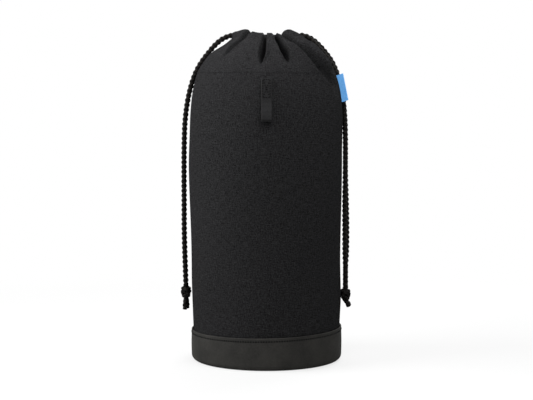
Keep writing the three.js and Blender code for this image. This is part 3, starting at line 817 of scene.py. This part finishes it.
# Collar line: a curve from the hem over the bulge to the rim, whose height changes round the mouth.
def collarLine(azimuth, rise):
    draw = leftDraw
    onLeft = bell(apart(azimuth, draw["azimuth"]) / draw["spread"])
    drawn = draw["in"] * past(rise, draw["inRange"]) - draw["out"] * past(rise, draw["outRange"])
    radius = bend(rise, body["hem"], collar["bulge"][0], collar["rim"]) - onLeft * drawn
    return radius, bend(rise, body["hemHeight"], collar["bulge"][1], collar["rimHeight"] + rimLift(azimuth))


def collarNormal(rise):  # radius and height parts of the outward direction, level at the hem
    r = bendSlope(rise, body["hem"], collar["bulge"][0], collar["rim"]) * smooth(rise / collar["levelTo"])
    z = bendSlope(rise, body["hemHeight"], collar["bulge"][1], collar["rimHeight"])
    size = np.hypot(r, z)
    return z / size, -r / size


# The collar's section: up the outer face, round the rolled rim and down the inner face. Each point has its
# rise, its distance out from the collar line and its distance past the rim.
def collarSection(count):
    second, third = collar["firstRises"]
    rise = np.concatenate([[0, second], np.linspace(third, 1, count - 2) ** 0.9])
    fromSeam = rise - collar["casingFrom"]
    inCasing = np.clip(fromSeam / (1 - collar["casingFrom"]), 0, 1)
    swell = collar["casingSwell"] * np.sin(np.pi * inCasing**0.8)
    out = swell - collar["seamDip"] * bell(fromSeam / collar["seamWidth"])
    thick = collar["cloth"] + (collar["casing"] - collar["cloth"]) * past(fromSeam, collar["thickens"])
    turn = np.linspace(0, np.pi, collar["rimSteps"])[1:-1]
    half = collar["casing"] / 2
    rim = np.stack([np.ones(len(turn)), half * np.cos(turn) - half, half * np.sin(turn)])
    outer = np.stack([rise, out, np.zeros(count)])
    inner = np.stack([rise, -thick, np.zeros(count)])[:, ::-1]
    return np.concatenate([outer, rim, inner], 1)


# A place on the collar: the line's point, moved along its outward direction by the section and the folds.
def collarPoint(azimuth, rise, out, beyond, puff):
    radius, height = collarLine(azimuth, rise)
    nr, nz = collarNormal(rise)
    move = out + puff - foldPush(azimuth, rise)
    return polar(azimuth, radius + nr * move - nz * beyond, height + nz * move + nr * beyond)


ridge = {"columns": 56, "rows": 46, "puff": [1.6, 0.8, 1.5, 1.4, 1.2, 1.4, 1.4, 0.2], "crowding": 0.82,
         "parting": 0.004, "partingRange": (0.1, 0.2)}
casingCord = {"rise": 0.93, "depth": 2.3, "radius": 1.85, "fromFold": 4.5, "mostFromFold": 0.42, "points": 60,
              "sides": 10, "relief": 0.1}


# A ridge spans two valleys. Its columns crowd towards both, and its edges part by a hair above the hem.
def makeRidge(i):
    t = np.linspace(0, 1, ridge["columns"])
    u = (t - ridge["crowding"] * np.sin(2 * np.pi * t) / (2 * np.pi))[None, :]
    rise, out, beyond = (row[:, None] for row in collarSection(ridge["rows"]))
    first, last = valleyAzimuth(i, rise), valleyAzimuth(i + 1, rise)
    last = last + 360 * (last < first)
    parting = ridge["parting"] * past(rise, ridge["partingRange"])
    azimuth = first + (last - first) * (parting + (1 - 2 * parting) * u)
    puff = ridge["puff"][i] * np.sin(np.pi * rise) * (1 - (2 * u - 1) ** 2) ** 2
    grid = collarPoint(azimuth, rise, out, beyond, puff)
    rows, columns = grid.shape[:2]
    middle = columns // 2
    steps = np.linalg.norm(np.diff(grid, axis=1), axis=2)
    across = np.concatenate([np.zeros((rows, 1)), np.cumsum(steps, axis=1)], 1)
    across = across - across[:, middle:middle + 1]
    up = lengthsAlong(grid[:, middle])
    places = np.stack([across, np.broadcast_to(up[:, None], across.shape)], -1).reshape(-1, 2)
    left = ladder(rows) * columns
    faces = np.concatenate([gridQuads(rows, columns, wrapRows=True), left, left[:, ::-1] + columns - 1])
    piece = makePiece(f"collarRidge{i + 1}", grid, [faces], [places[faces]], finish["cover"])
    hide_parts(f"collar_ridge_{i + 1}")
    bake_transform(piece)

    spec = casingCord
    start = valleyAzimuth(i, spec["rise"])
    span = (valleyAzimuth(i + 1, spec["rise"]) - start) % 360
    margin = min(spec["mostFromFold"], spec["fromFold"] / (math.radians(span) * collar["rim"]))
    line = start + span * np.linspace(margin, 1 - margin, spec["points"])
    path = collarPoint(line, spec["rise"], -spec["depth"], 0, 0)
    tube = cordTube(path, spec["radius"] * (1 - margin), spec["sides"], upright, spec["relief"])
    inside = cordPiece(f"casingCord{i + 1}", [tube])
    settle(inside, f"ridge_{i + 1}", "cord", f"casing_cord_{i + 1}")


for number in range(8):
    makeRidge(number)
print("collar ridges done")


# Pleats: cloth tongues that lie tucked inside and fill the spaces between the ridges when these open. Before
# and after are a pleat's widths to either side at its free end, tip and tipAfter at its hinge.
pleats = {"azimuth": [-57, -6, 15, 59, 106, 152, 200, 252], "elevation": [34, 26, 18], "hinge": 49.6,
          "length": 40.5, "thickness": 1.2, "tip": 4.5, "tipAfter": [10, 4.5, 10, 4.5, 4.5, 4.5, 4.5, 4.5],
          "before": [11, 13.5, 8, 19, 12, 14, 14, 18.5], "after": [19, 8, 13, 11, 18, 15, 16, 13],
          "from": [0.01, 0.01, 0.01, 0.11, 0.01, 0.01, 0.01, 0.01], "rows": 33, "columns": 25,
          "sag": [6.9, 8.8, 7.2, 4.2, 7.0, 5.4, 6.9, 5.4], "sagWithin": 0.12, "curl": 80, "ripple": 0.25,
          "ripples": 6, "rippleShift": 2, "below": 0.6, "squareness": 24, "edge": 0.02}


# A pleat runs inwards from its hinge. It sags soon after the hinge, curls down towards its sides and thins
# out at its edges.
def makePleat(i):
    length, after = pleats["length"], pleats["tipAfter"][i]
    across, along = np.linspace(-1, 1, pleats["columns"]), np.linspace(pleats["from"][i], 1, pleats["rows"])
    u, v = np.meshgrid(across, along)
    reach = np.where(u < 0, pleats["before"][i], pleats["after"][i])
    tip = np.where(u < 0, pleats["tip"], after)
    aside = u * (tip + (reach - tip) * v)
    sag = pleats["sag"][i] * (1 - np.exp(-v / pleats["sagWithin"])) + aside**2 / pleats["curl"]
    ripple = pleats["ripple"] * np.sin(pleats["ripples"] * u + pleats["rippleShift"] * i)
    lower = ripple * v - sag - pleats["below"]
    edge = np.sqrt(np.clip(1 - np.maximum(np.abs(u), v) ** pleats["squareness"], pleats["edge"], 1))
    lift = math.radians(pleats["elevation"][i % 3])
    outward = polar(pleats["azimuth"][i], 1.0, 0.0)
    beside = polar(pleats["azimuth"][i] + 90, 1.0, 0.0)
    inward = -math.cos(lift) * outward + math.sin(lift) * upright
    face = math.sin(lift) * outward + math.cos(lift) * upright
    hinge = outward * pleats["hinge"] + upright * body["hemHeight"]
    middle = hinge + aside[..., None] * beside + (v * length)[..., None] * inward + lower[..., None] * face
    half = (pleats["thickness"] / 2 * edge)[..., None] * face
    grid = np.concatenate([middle + half, (middle - half)[:, ::-1]], 1)
    flat = np.stack([aside, v * length], -1)
    places = np.concatenate([flat, flat[:, ::-1]], 1).reshape(-1, 2)
    faces = np.concatenate(sleeveFaces(*grid.shape[:2]))
    piece = makePiece(f"collarPleat{i + 1}", grid, [faces], [places[faces]], finish["cover"])
    settle(piece, f"pleat_{i + 1}", "cover_cloth", f"collar_pleat_{i + 1}")


for number in range(8):
    makePleat(number)
print("pleats done")

tape = {"sides": 40, "flatness": 0.35, "roundness": 0.5, "thin": 0.92, "thicker": 0.16, "edgeFrom": 0.36,
        "edge": 0.08}


def rounded(x, power):  # squares off a sine or cosine
    return np.sign(x) * np.abs(x) ** power


# Tape: a flat rounded section, a little thicker at its woven edges, carried along a line in the front plane.
def tapePiece(name, line, width, thickness):
    face = np.cross(sideways, unit(np.gradient(line, axis=0)))
    turn = np.linspace(0, 2 * np.pi, tape["sides"], endpoint=False)
    x = rounded(np.cos(turn), tape["flatness"]) * width / 2
    y = rounded(np.sin(turn), tape["roundness"]) * thickness / 2
    toEdge = smooth((np.abs(x) - width * tape["edgeFrom"]) / (width * tape["edge"]))
    y = y * (tape["thin"] + tape["thicker"] * toEdge)
    points = line[:, None] + x[None, :, None] * sideways + y[None, :, None] * face[:, None]
    quads, caps = tubeFaces(len(line), tape["sides"])
    places = gridPlaces(np.concatenate([x, x[:1]]), lengthsAlong(line))
    return makePiece(name, points, [quads, caps], [places, noPlaces(caps)], finish["webbing"])


def inFrontPlane(out, height):  # points at x = 0, a distance in front of the axis
    return np.stack([np.zeros(len(out)), -out, height], -1)


loop = {"width": 7.7, "tape": 1.15, "sewnBottom": 197.5, "sewnTop": 212.2, "foot": 181.2, "bend": 1.9,
        "sunk": 0.15, "clear": 0.2, "overlap": 0.8, "rows": 24, "step": 0.7, "backGap": 0.6, "backRows": 8,
        "aboveFold": 1, "foldSteps": 15, "frontRows": 14}
# Box and cross stitch: half its width, its distances from the sewn end's bottom and top, and its stitches.
box = {"half": 2.6, "fromBottom": 0.8, "fromTop": 1.2, "pitch": 1.7, "length": 1.25, "width": 0.75,
       "thickness": 0.6, "proud": 0.02}


# Loop: the sewn end is two layers of tape that follow the cover; the free half hangs from it, back leg first,
# round the fold at its foot and up the front.
def makeLoop():
    thick, low = loop["tape"], loop["sewnBottom"]
    heights = np.linspace(low, loop["sewnTop"], loop["rows"])
    back = inFrontPlane(coverRadius(0.0, heights) - loop["sunk"], heights)
    along = lengthsAlong(back)
    run = unit(np.gradient(back, axis=0))
    face = np.stack([np.zeros(len(run)), -run[:, 2], run[:, 1]], -1)
    sewn = tapePiece("sewnEnd", back + face * thick, loop["width"], 2 * thick)
    settle(sewn, "pouch", "webbing", "loop_sewn_end")

    sewnOut, hangOut = -back[0, 1], float(coverRadius(0.0, loop["foot"])) + loop["clear"]
    middle = np.array([hangOut + loop["bend"], loop["foot"] + loop["bend"]])
    radius = loop["bend"] - thick / 2
    top = low + loop["overlap"]
    backOut = np.linspace(sewnOut + thick / 2, hangOut + loop["backGap"], loop["backRows"])
    backUp = np.linspace(top, middle[1] + loop["aboveFold"], loop["backRows"])
    rise = np.linspace(0, 1, loop["frontRows"])[1:]
    frontFoot = middle[0] + radius
    frontOut = frontFoot + (sewnOut + 1.5 * thick - frontFoot) * smooth(rise)
    frontUp = middle[1] + (top - middle[1]) * rise
    fold = arc(middle, radius, 180, 360, loop["foldSteps"])
    path = np.concatenate([np.stack([backOut, backUp], -1), fold, np.stack([frontOut, frontUp], -1)])
    line = smoothLine(inFrontPlane(path[:, 0], path[:, 1]), loop["step"])
    hanging = tapePiece("hangLoop", line, loop["width"], thick)
    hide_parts("hang_loop")
    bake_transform(hanging)

    def onSewn(rows, s):  # rows of the sewn end, read at lengths along it
        return np.stack([np.interp(s, along, rows[:, k]) for k in range(3)], -1)

    def rowOn(start, end):  # stitches between two places on the sewn face, across and along the tape
        start, end = np.array(start, float), np.array(end, float)
        count = max(2, int(np.linalg.norm(end - start) / box["pitch"]))
        t = (np.arange(count) + 0.5) / count
        at = start + t[:, None] * (end - start)
        outward = onSewn(face, at[:, 1])
        centre = onSewn(back, at[:, 1]) + outward * (2 * thick + box["proud"]) + at[:, :1] * sideways
        direction = (end - start)[0] * sideways + (end - start)[1] * onSewn(run, at[:, 1])
        return stitchRow(centre, direction, outward, box)

    x, lower, upper = box["half"], box["fromBottom"], along[-1] - box["fromTop"]
    ends = [((-x, lower), (x, lower)), ((x, lower), (x, upper)), ((x, upper), (-x, upper)),
            ((-x, upper), (-x, lower)), ((-x, lower), (x, upper)), ((x, lower), (-x, upper))]
    stitchPiece("boxStitch", [rowOn(*pair) for pair in ends], finish["darkThread"], "loop_stitch")


makeLoop()
print("loop done")


label = {"azimuth": 84.0, "bottom": 195.0, "top": 215.0, "reach": 4.3, "root": 1.6, "rise": 0.6,
         "thickness": 1.0, "clear": 0.3, "pressed": 0.55, "bow": 0.35, "rows": 36, "leafSteps": 14,
         "foldSteps": 12}


# Label: a folded strip, pressed flat at its seam. Its section runs out along one leaf, round the fold and
# back along the other, and its free edge bows a little.
def makeLabel():
    low, high, reach, half = label["bottom"], label["top"], label["reach"], label["thickness"] / 2
    bulge = bodyRadius((low + high) / 2) - (bodyRadius(low) + bodyRadius(high)) / 2 + label["clear"]
    outward = polar(label["azimuth"], 1.0, 0.0)
    foot = outward * (bodyRadius(low) + bulge) + upright * low
    head = outward * (bodyRadius(high) + bulge) + upright * high
    length = np.linalg.norm(head - foot)
    upward = unit(head - foot)
    face = -polar(label["azimuth"] + 90, 1.0, 0.0)
    out = np.cross(upward, face)
    leaf = np.linspace(-label["root"], reach - half, label["leafSteps"])
    leafHalf = half * (label["pressed"] + (1 - label["pressed"]) * np.linspace(0, 1, len(leaf)))
    turn = np.linspace(np.pi / 2, -np.pi / 2, label["foldSteps"])[1:-1]
    sectionOut = np.concatenate([leaf, leaf[-1] + half * np.cos(turn), leaf[::-1]])
    sectionFace = np.concatenate([leafHalf, half * np.sin(turn), -leafHalf[::-1]])
    s = np.linspace(0, 1, label["rows"])
    bow = label["bow"] * np.sin(np.pi * s)[:, None] * (sectionOut[None, :] / reach) ** 2
    rise = s[:, None] * length + label["rise"] * np.clip(sectionOut, 0, None)[None, :] / reach
    points = (foot + rise[..., None] * upward + sectionOut[None, :, None] * out
              + (sectionFace[None, :] + bow)[..., None] * face)
    quads, ends = sleeveFaces(len(s), len(sectionOut))
    places = gridPlaces(lengthsAlong(np.stack([sectionOut, sectionFace], -1), closed=True), s * length)
    piece = makePiece("sideLabel", points, [quads, ends], [places, noPlaces(ends)], finish["label"])
    settle(piece, "label", "label", "side_label")


makeLabel()
print("label done")


# Floor, lamps and background. The floor looks plain white away from the object and a little greyer under it.
stage = {"floorSize": 8.0, "floorColour": (196, 196, 196), "roughness": 0.9, "worldLight": 0.145,
         "fade": (0.2, 0.5), "white": (0.72, 1.0), "aim": (0, 0, 0.13)}


def seenDirectly(tree):  # 1 for rays that draw the background, 0 for rays that light the object
    rays = tree.nodes.new("ShaderNodeLightPath").outputs
    mirrored = calc(tree, "ADD", rays["Is Glossy Ray"], rays["Is Transmission Ray"])
    return calc(tree, "ADD", rays["Is Camera Ray"], mirrored, clamp=True)


# Floor: paper mixed with a white glow that grows with the distance from the object.
def makeFloor():
    mesh = bpy.data.meshes.new("floor")
    h = stage["floorSize"] / 2
    mesh.from_pydata([(-h, -h, 0), (h, -h, 0), (h, h, 0), (-h, h, 0)], [], [(0, 1, 2, 3)])
    floor = bpy.data.objects.new("floor", mesh)
    scene.collection.objects.link(floor)
    paper = bpy.data.materials.new("floorPaper")
    paper.use_nodes = True
    mesh.materials.append(paper)
    tree = paper.node_tree
    shader = tree.nodes["Principled BSDF"]
    connect(tree, shader, {"Base Color": fromScreen(*stage["floorColour"]), "Roughness": stage["roughness"]})
    place = tree.nodes.new("ShaderNodeTexCoord").outputs["Object"]
    away = addNode(tree, "VectorMath", {0: place}, operation="LENGTH").outputs["Value"]
    (near, far), (least, most) = stage["fade"], stage["white"]
    span = {"Value": away, "From Min": near, "From Max": far, "To Min": least, "To Max": most}
    share = times(tree, seenDirectly(tree), addNode(tree, "MapRange", span).outputs[0])
    glow = addNode(tree, "Emission", {}).outputs[0]
    mix = addNode(tree, "MixShader", {0: share, 1: shader.outputs[0], 2: glow}).outputs[0]
    connect(tree, tree.nodes["Material Output"], {"Surface": mix})


def makeWorld():  # white where it is seen, dimmer where it lights the object
    world = bpy.data.worlds.new("studio")
    scene.world = world
    world.use_nodes = True
    tree = world.node_tree
    light = stage["worldLight"]
    strength = calc(tree, "MULTIPLY_ADD", seenDirectly(tree), 1 - light, light)
    connect(tree, tree.nodes["Background"], {"Color": (1, 1, 1, 1), "Strength": strength})


lamps = [
    {"name": "keyLeft", "place": (-0.44, -0.11, 0.43), "size": 0.4, "power": 5.5},
    {"name": "topFront", "place": (0.11, -0.19, 0.45), "size": 0.24, "power": 1.5},
    {"name": "topBack", "place": (0.1, 0.5, 0.9), "size": 0.7, "power": 5},
    {"name": "backRight", "place": (0.5, 0.9, 0.5), "size": 0.7, "power": 9},
]


def makeLamps():  # square lamps, all turned to one point
    for spec in lamps:
        data = bpy.data.lights.new(spec["name"], "AREA")
        data.energy = spec["power"]
        data.size = spec["size"]
        lamp = bpy.data.objects.new(spec["name"], data)
        lamp.location = spec["place"]
        towards = Vector(stage["aim"]) - Vector(spec["place"])
        lamp.rotation_euler = towards.to_track_quat("-Z", "Y").to_euler()
        scene.collection.objects.link(lamp)


makeFloor()
makeWorld()
makeLamps()
scene.view_settings.view_transform = "Standard"
print("stage done")
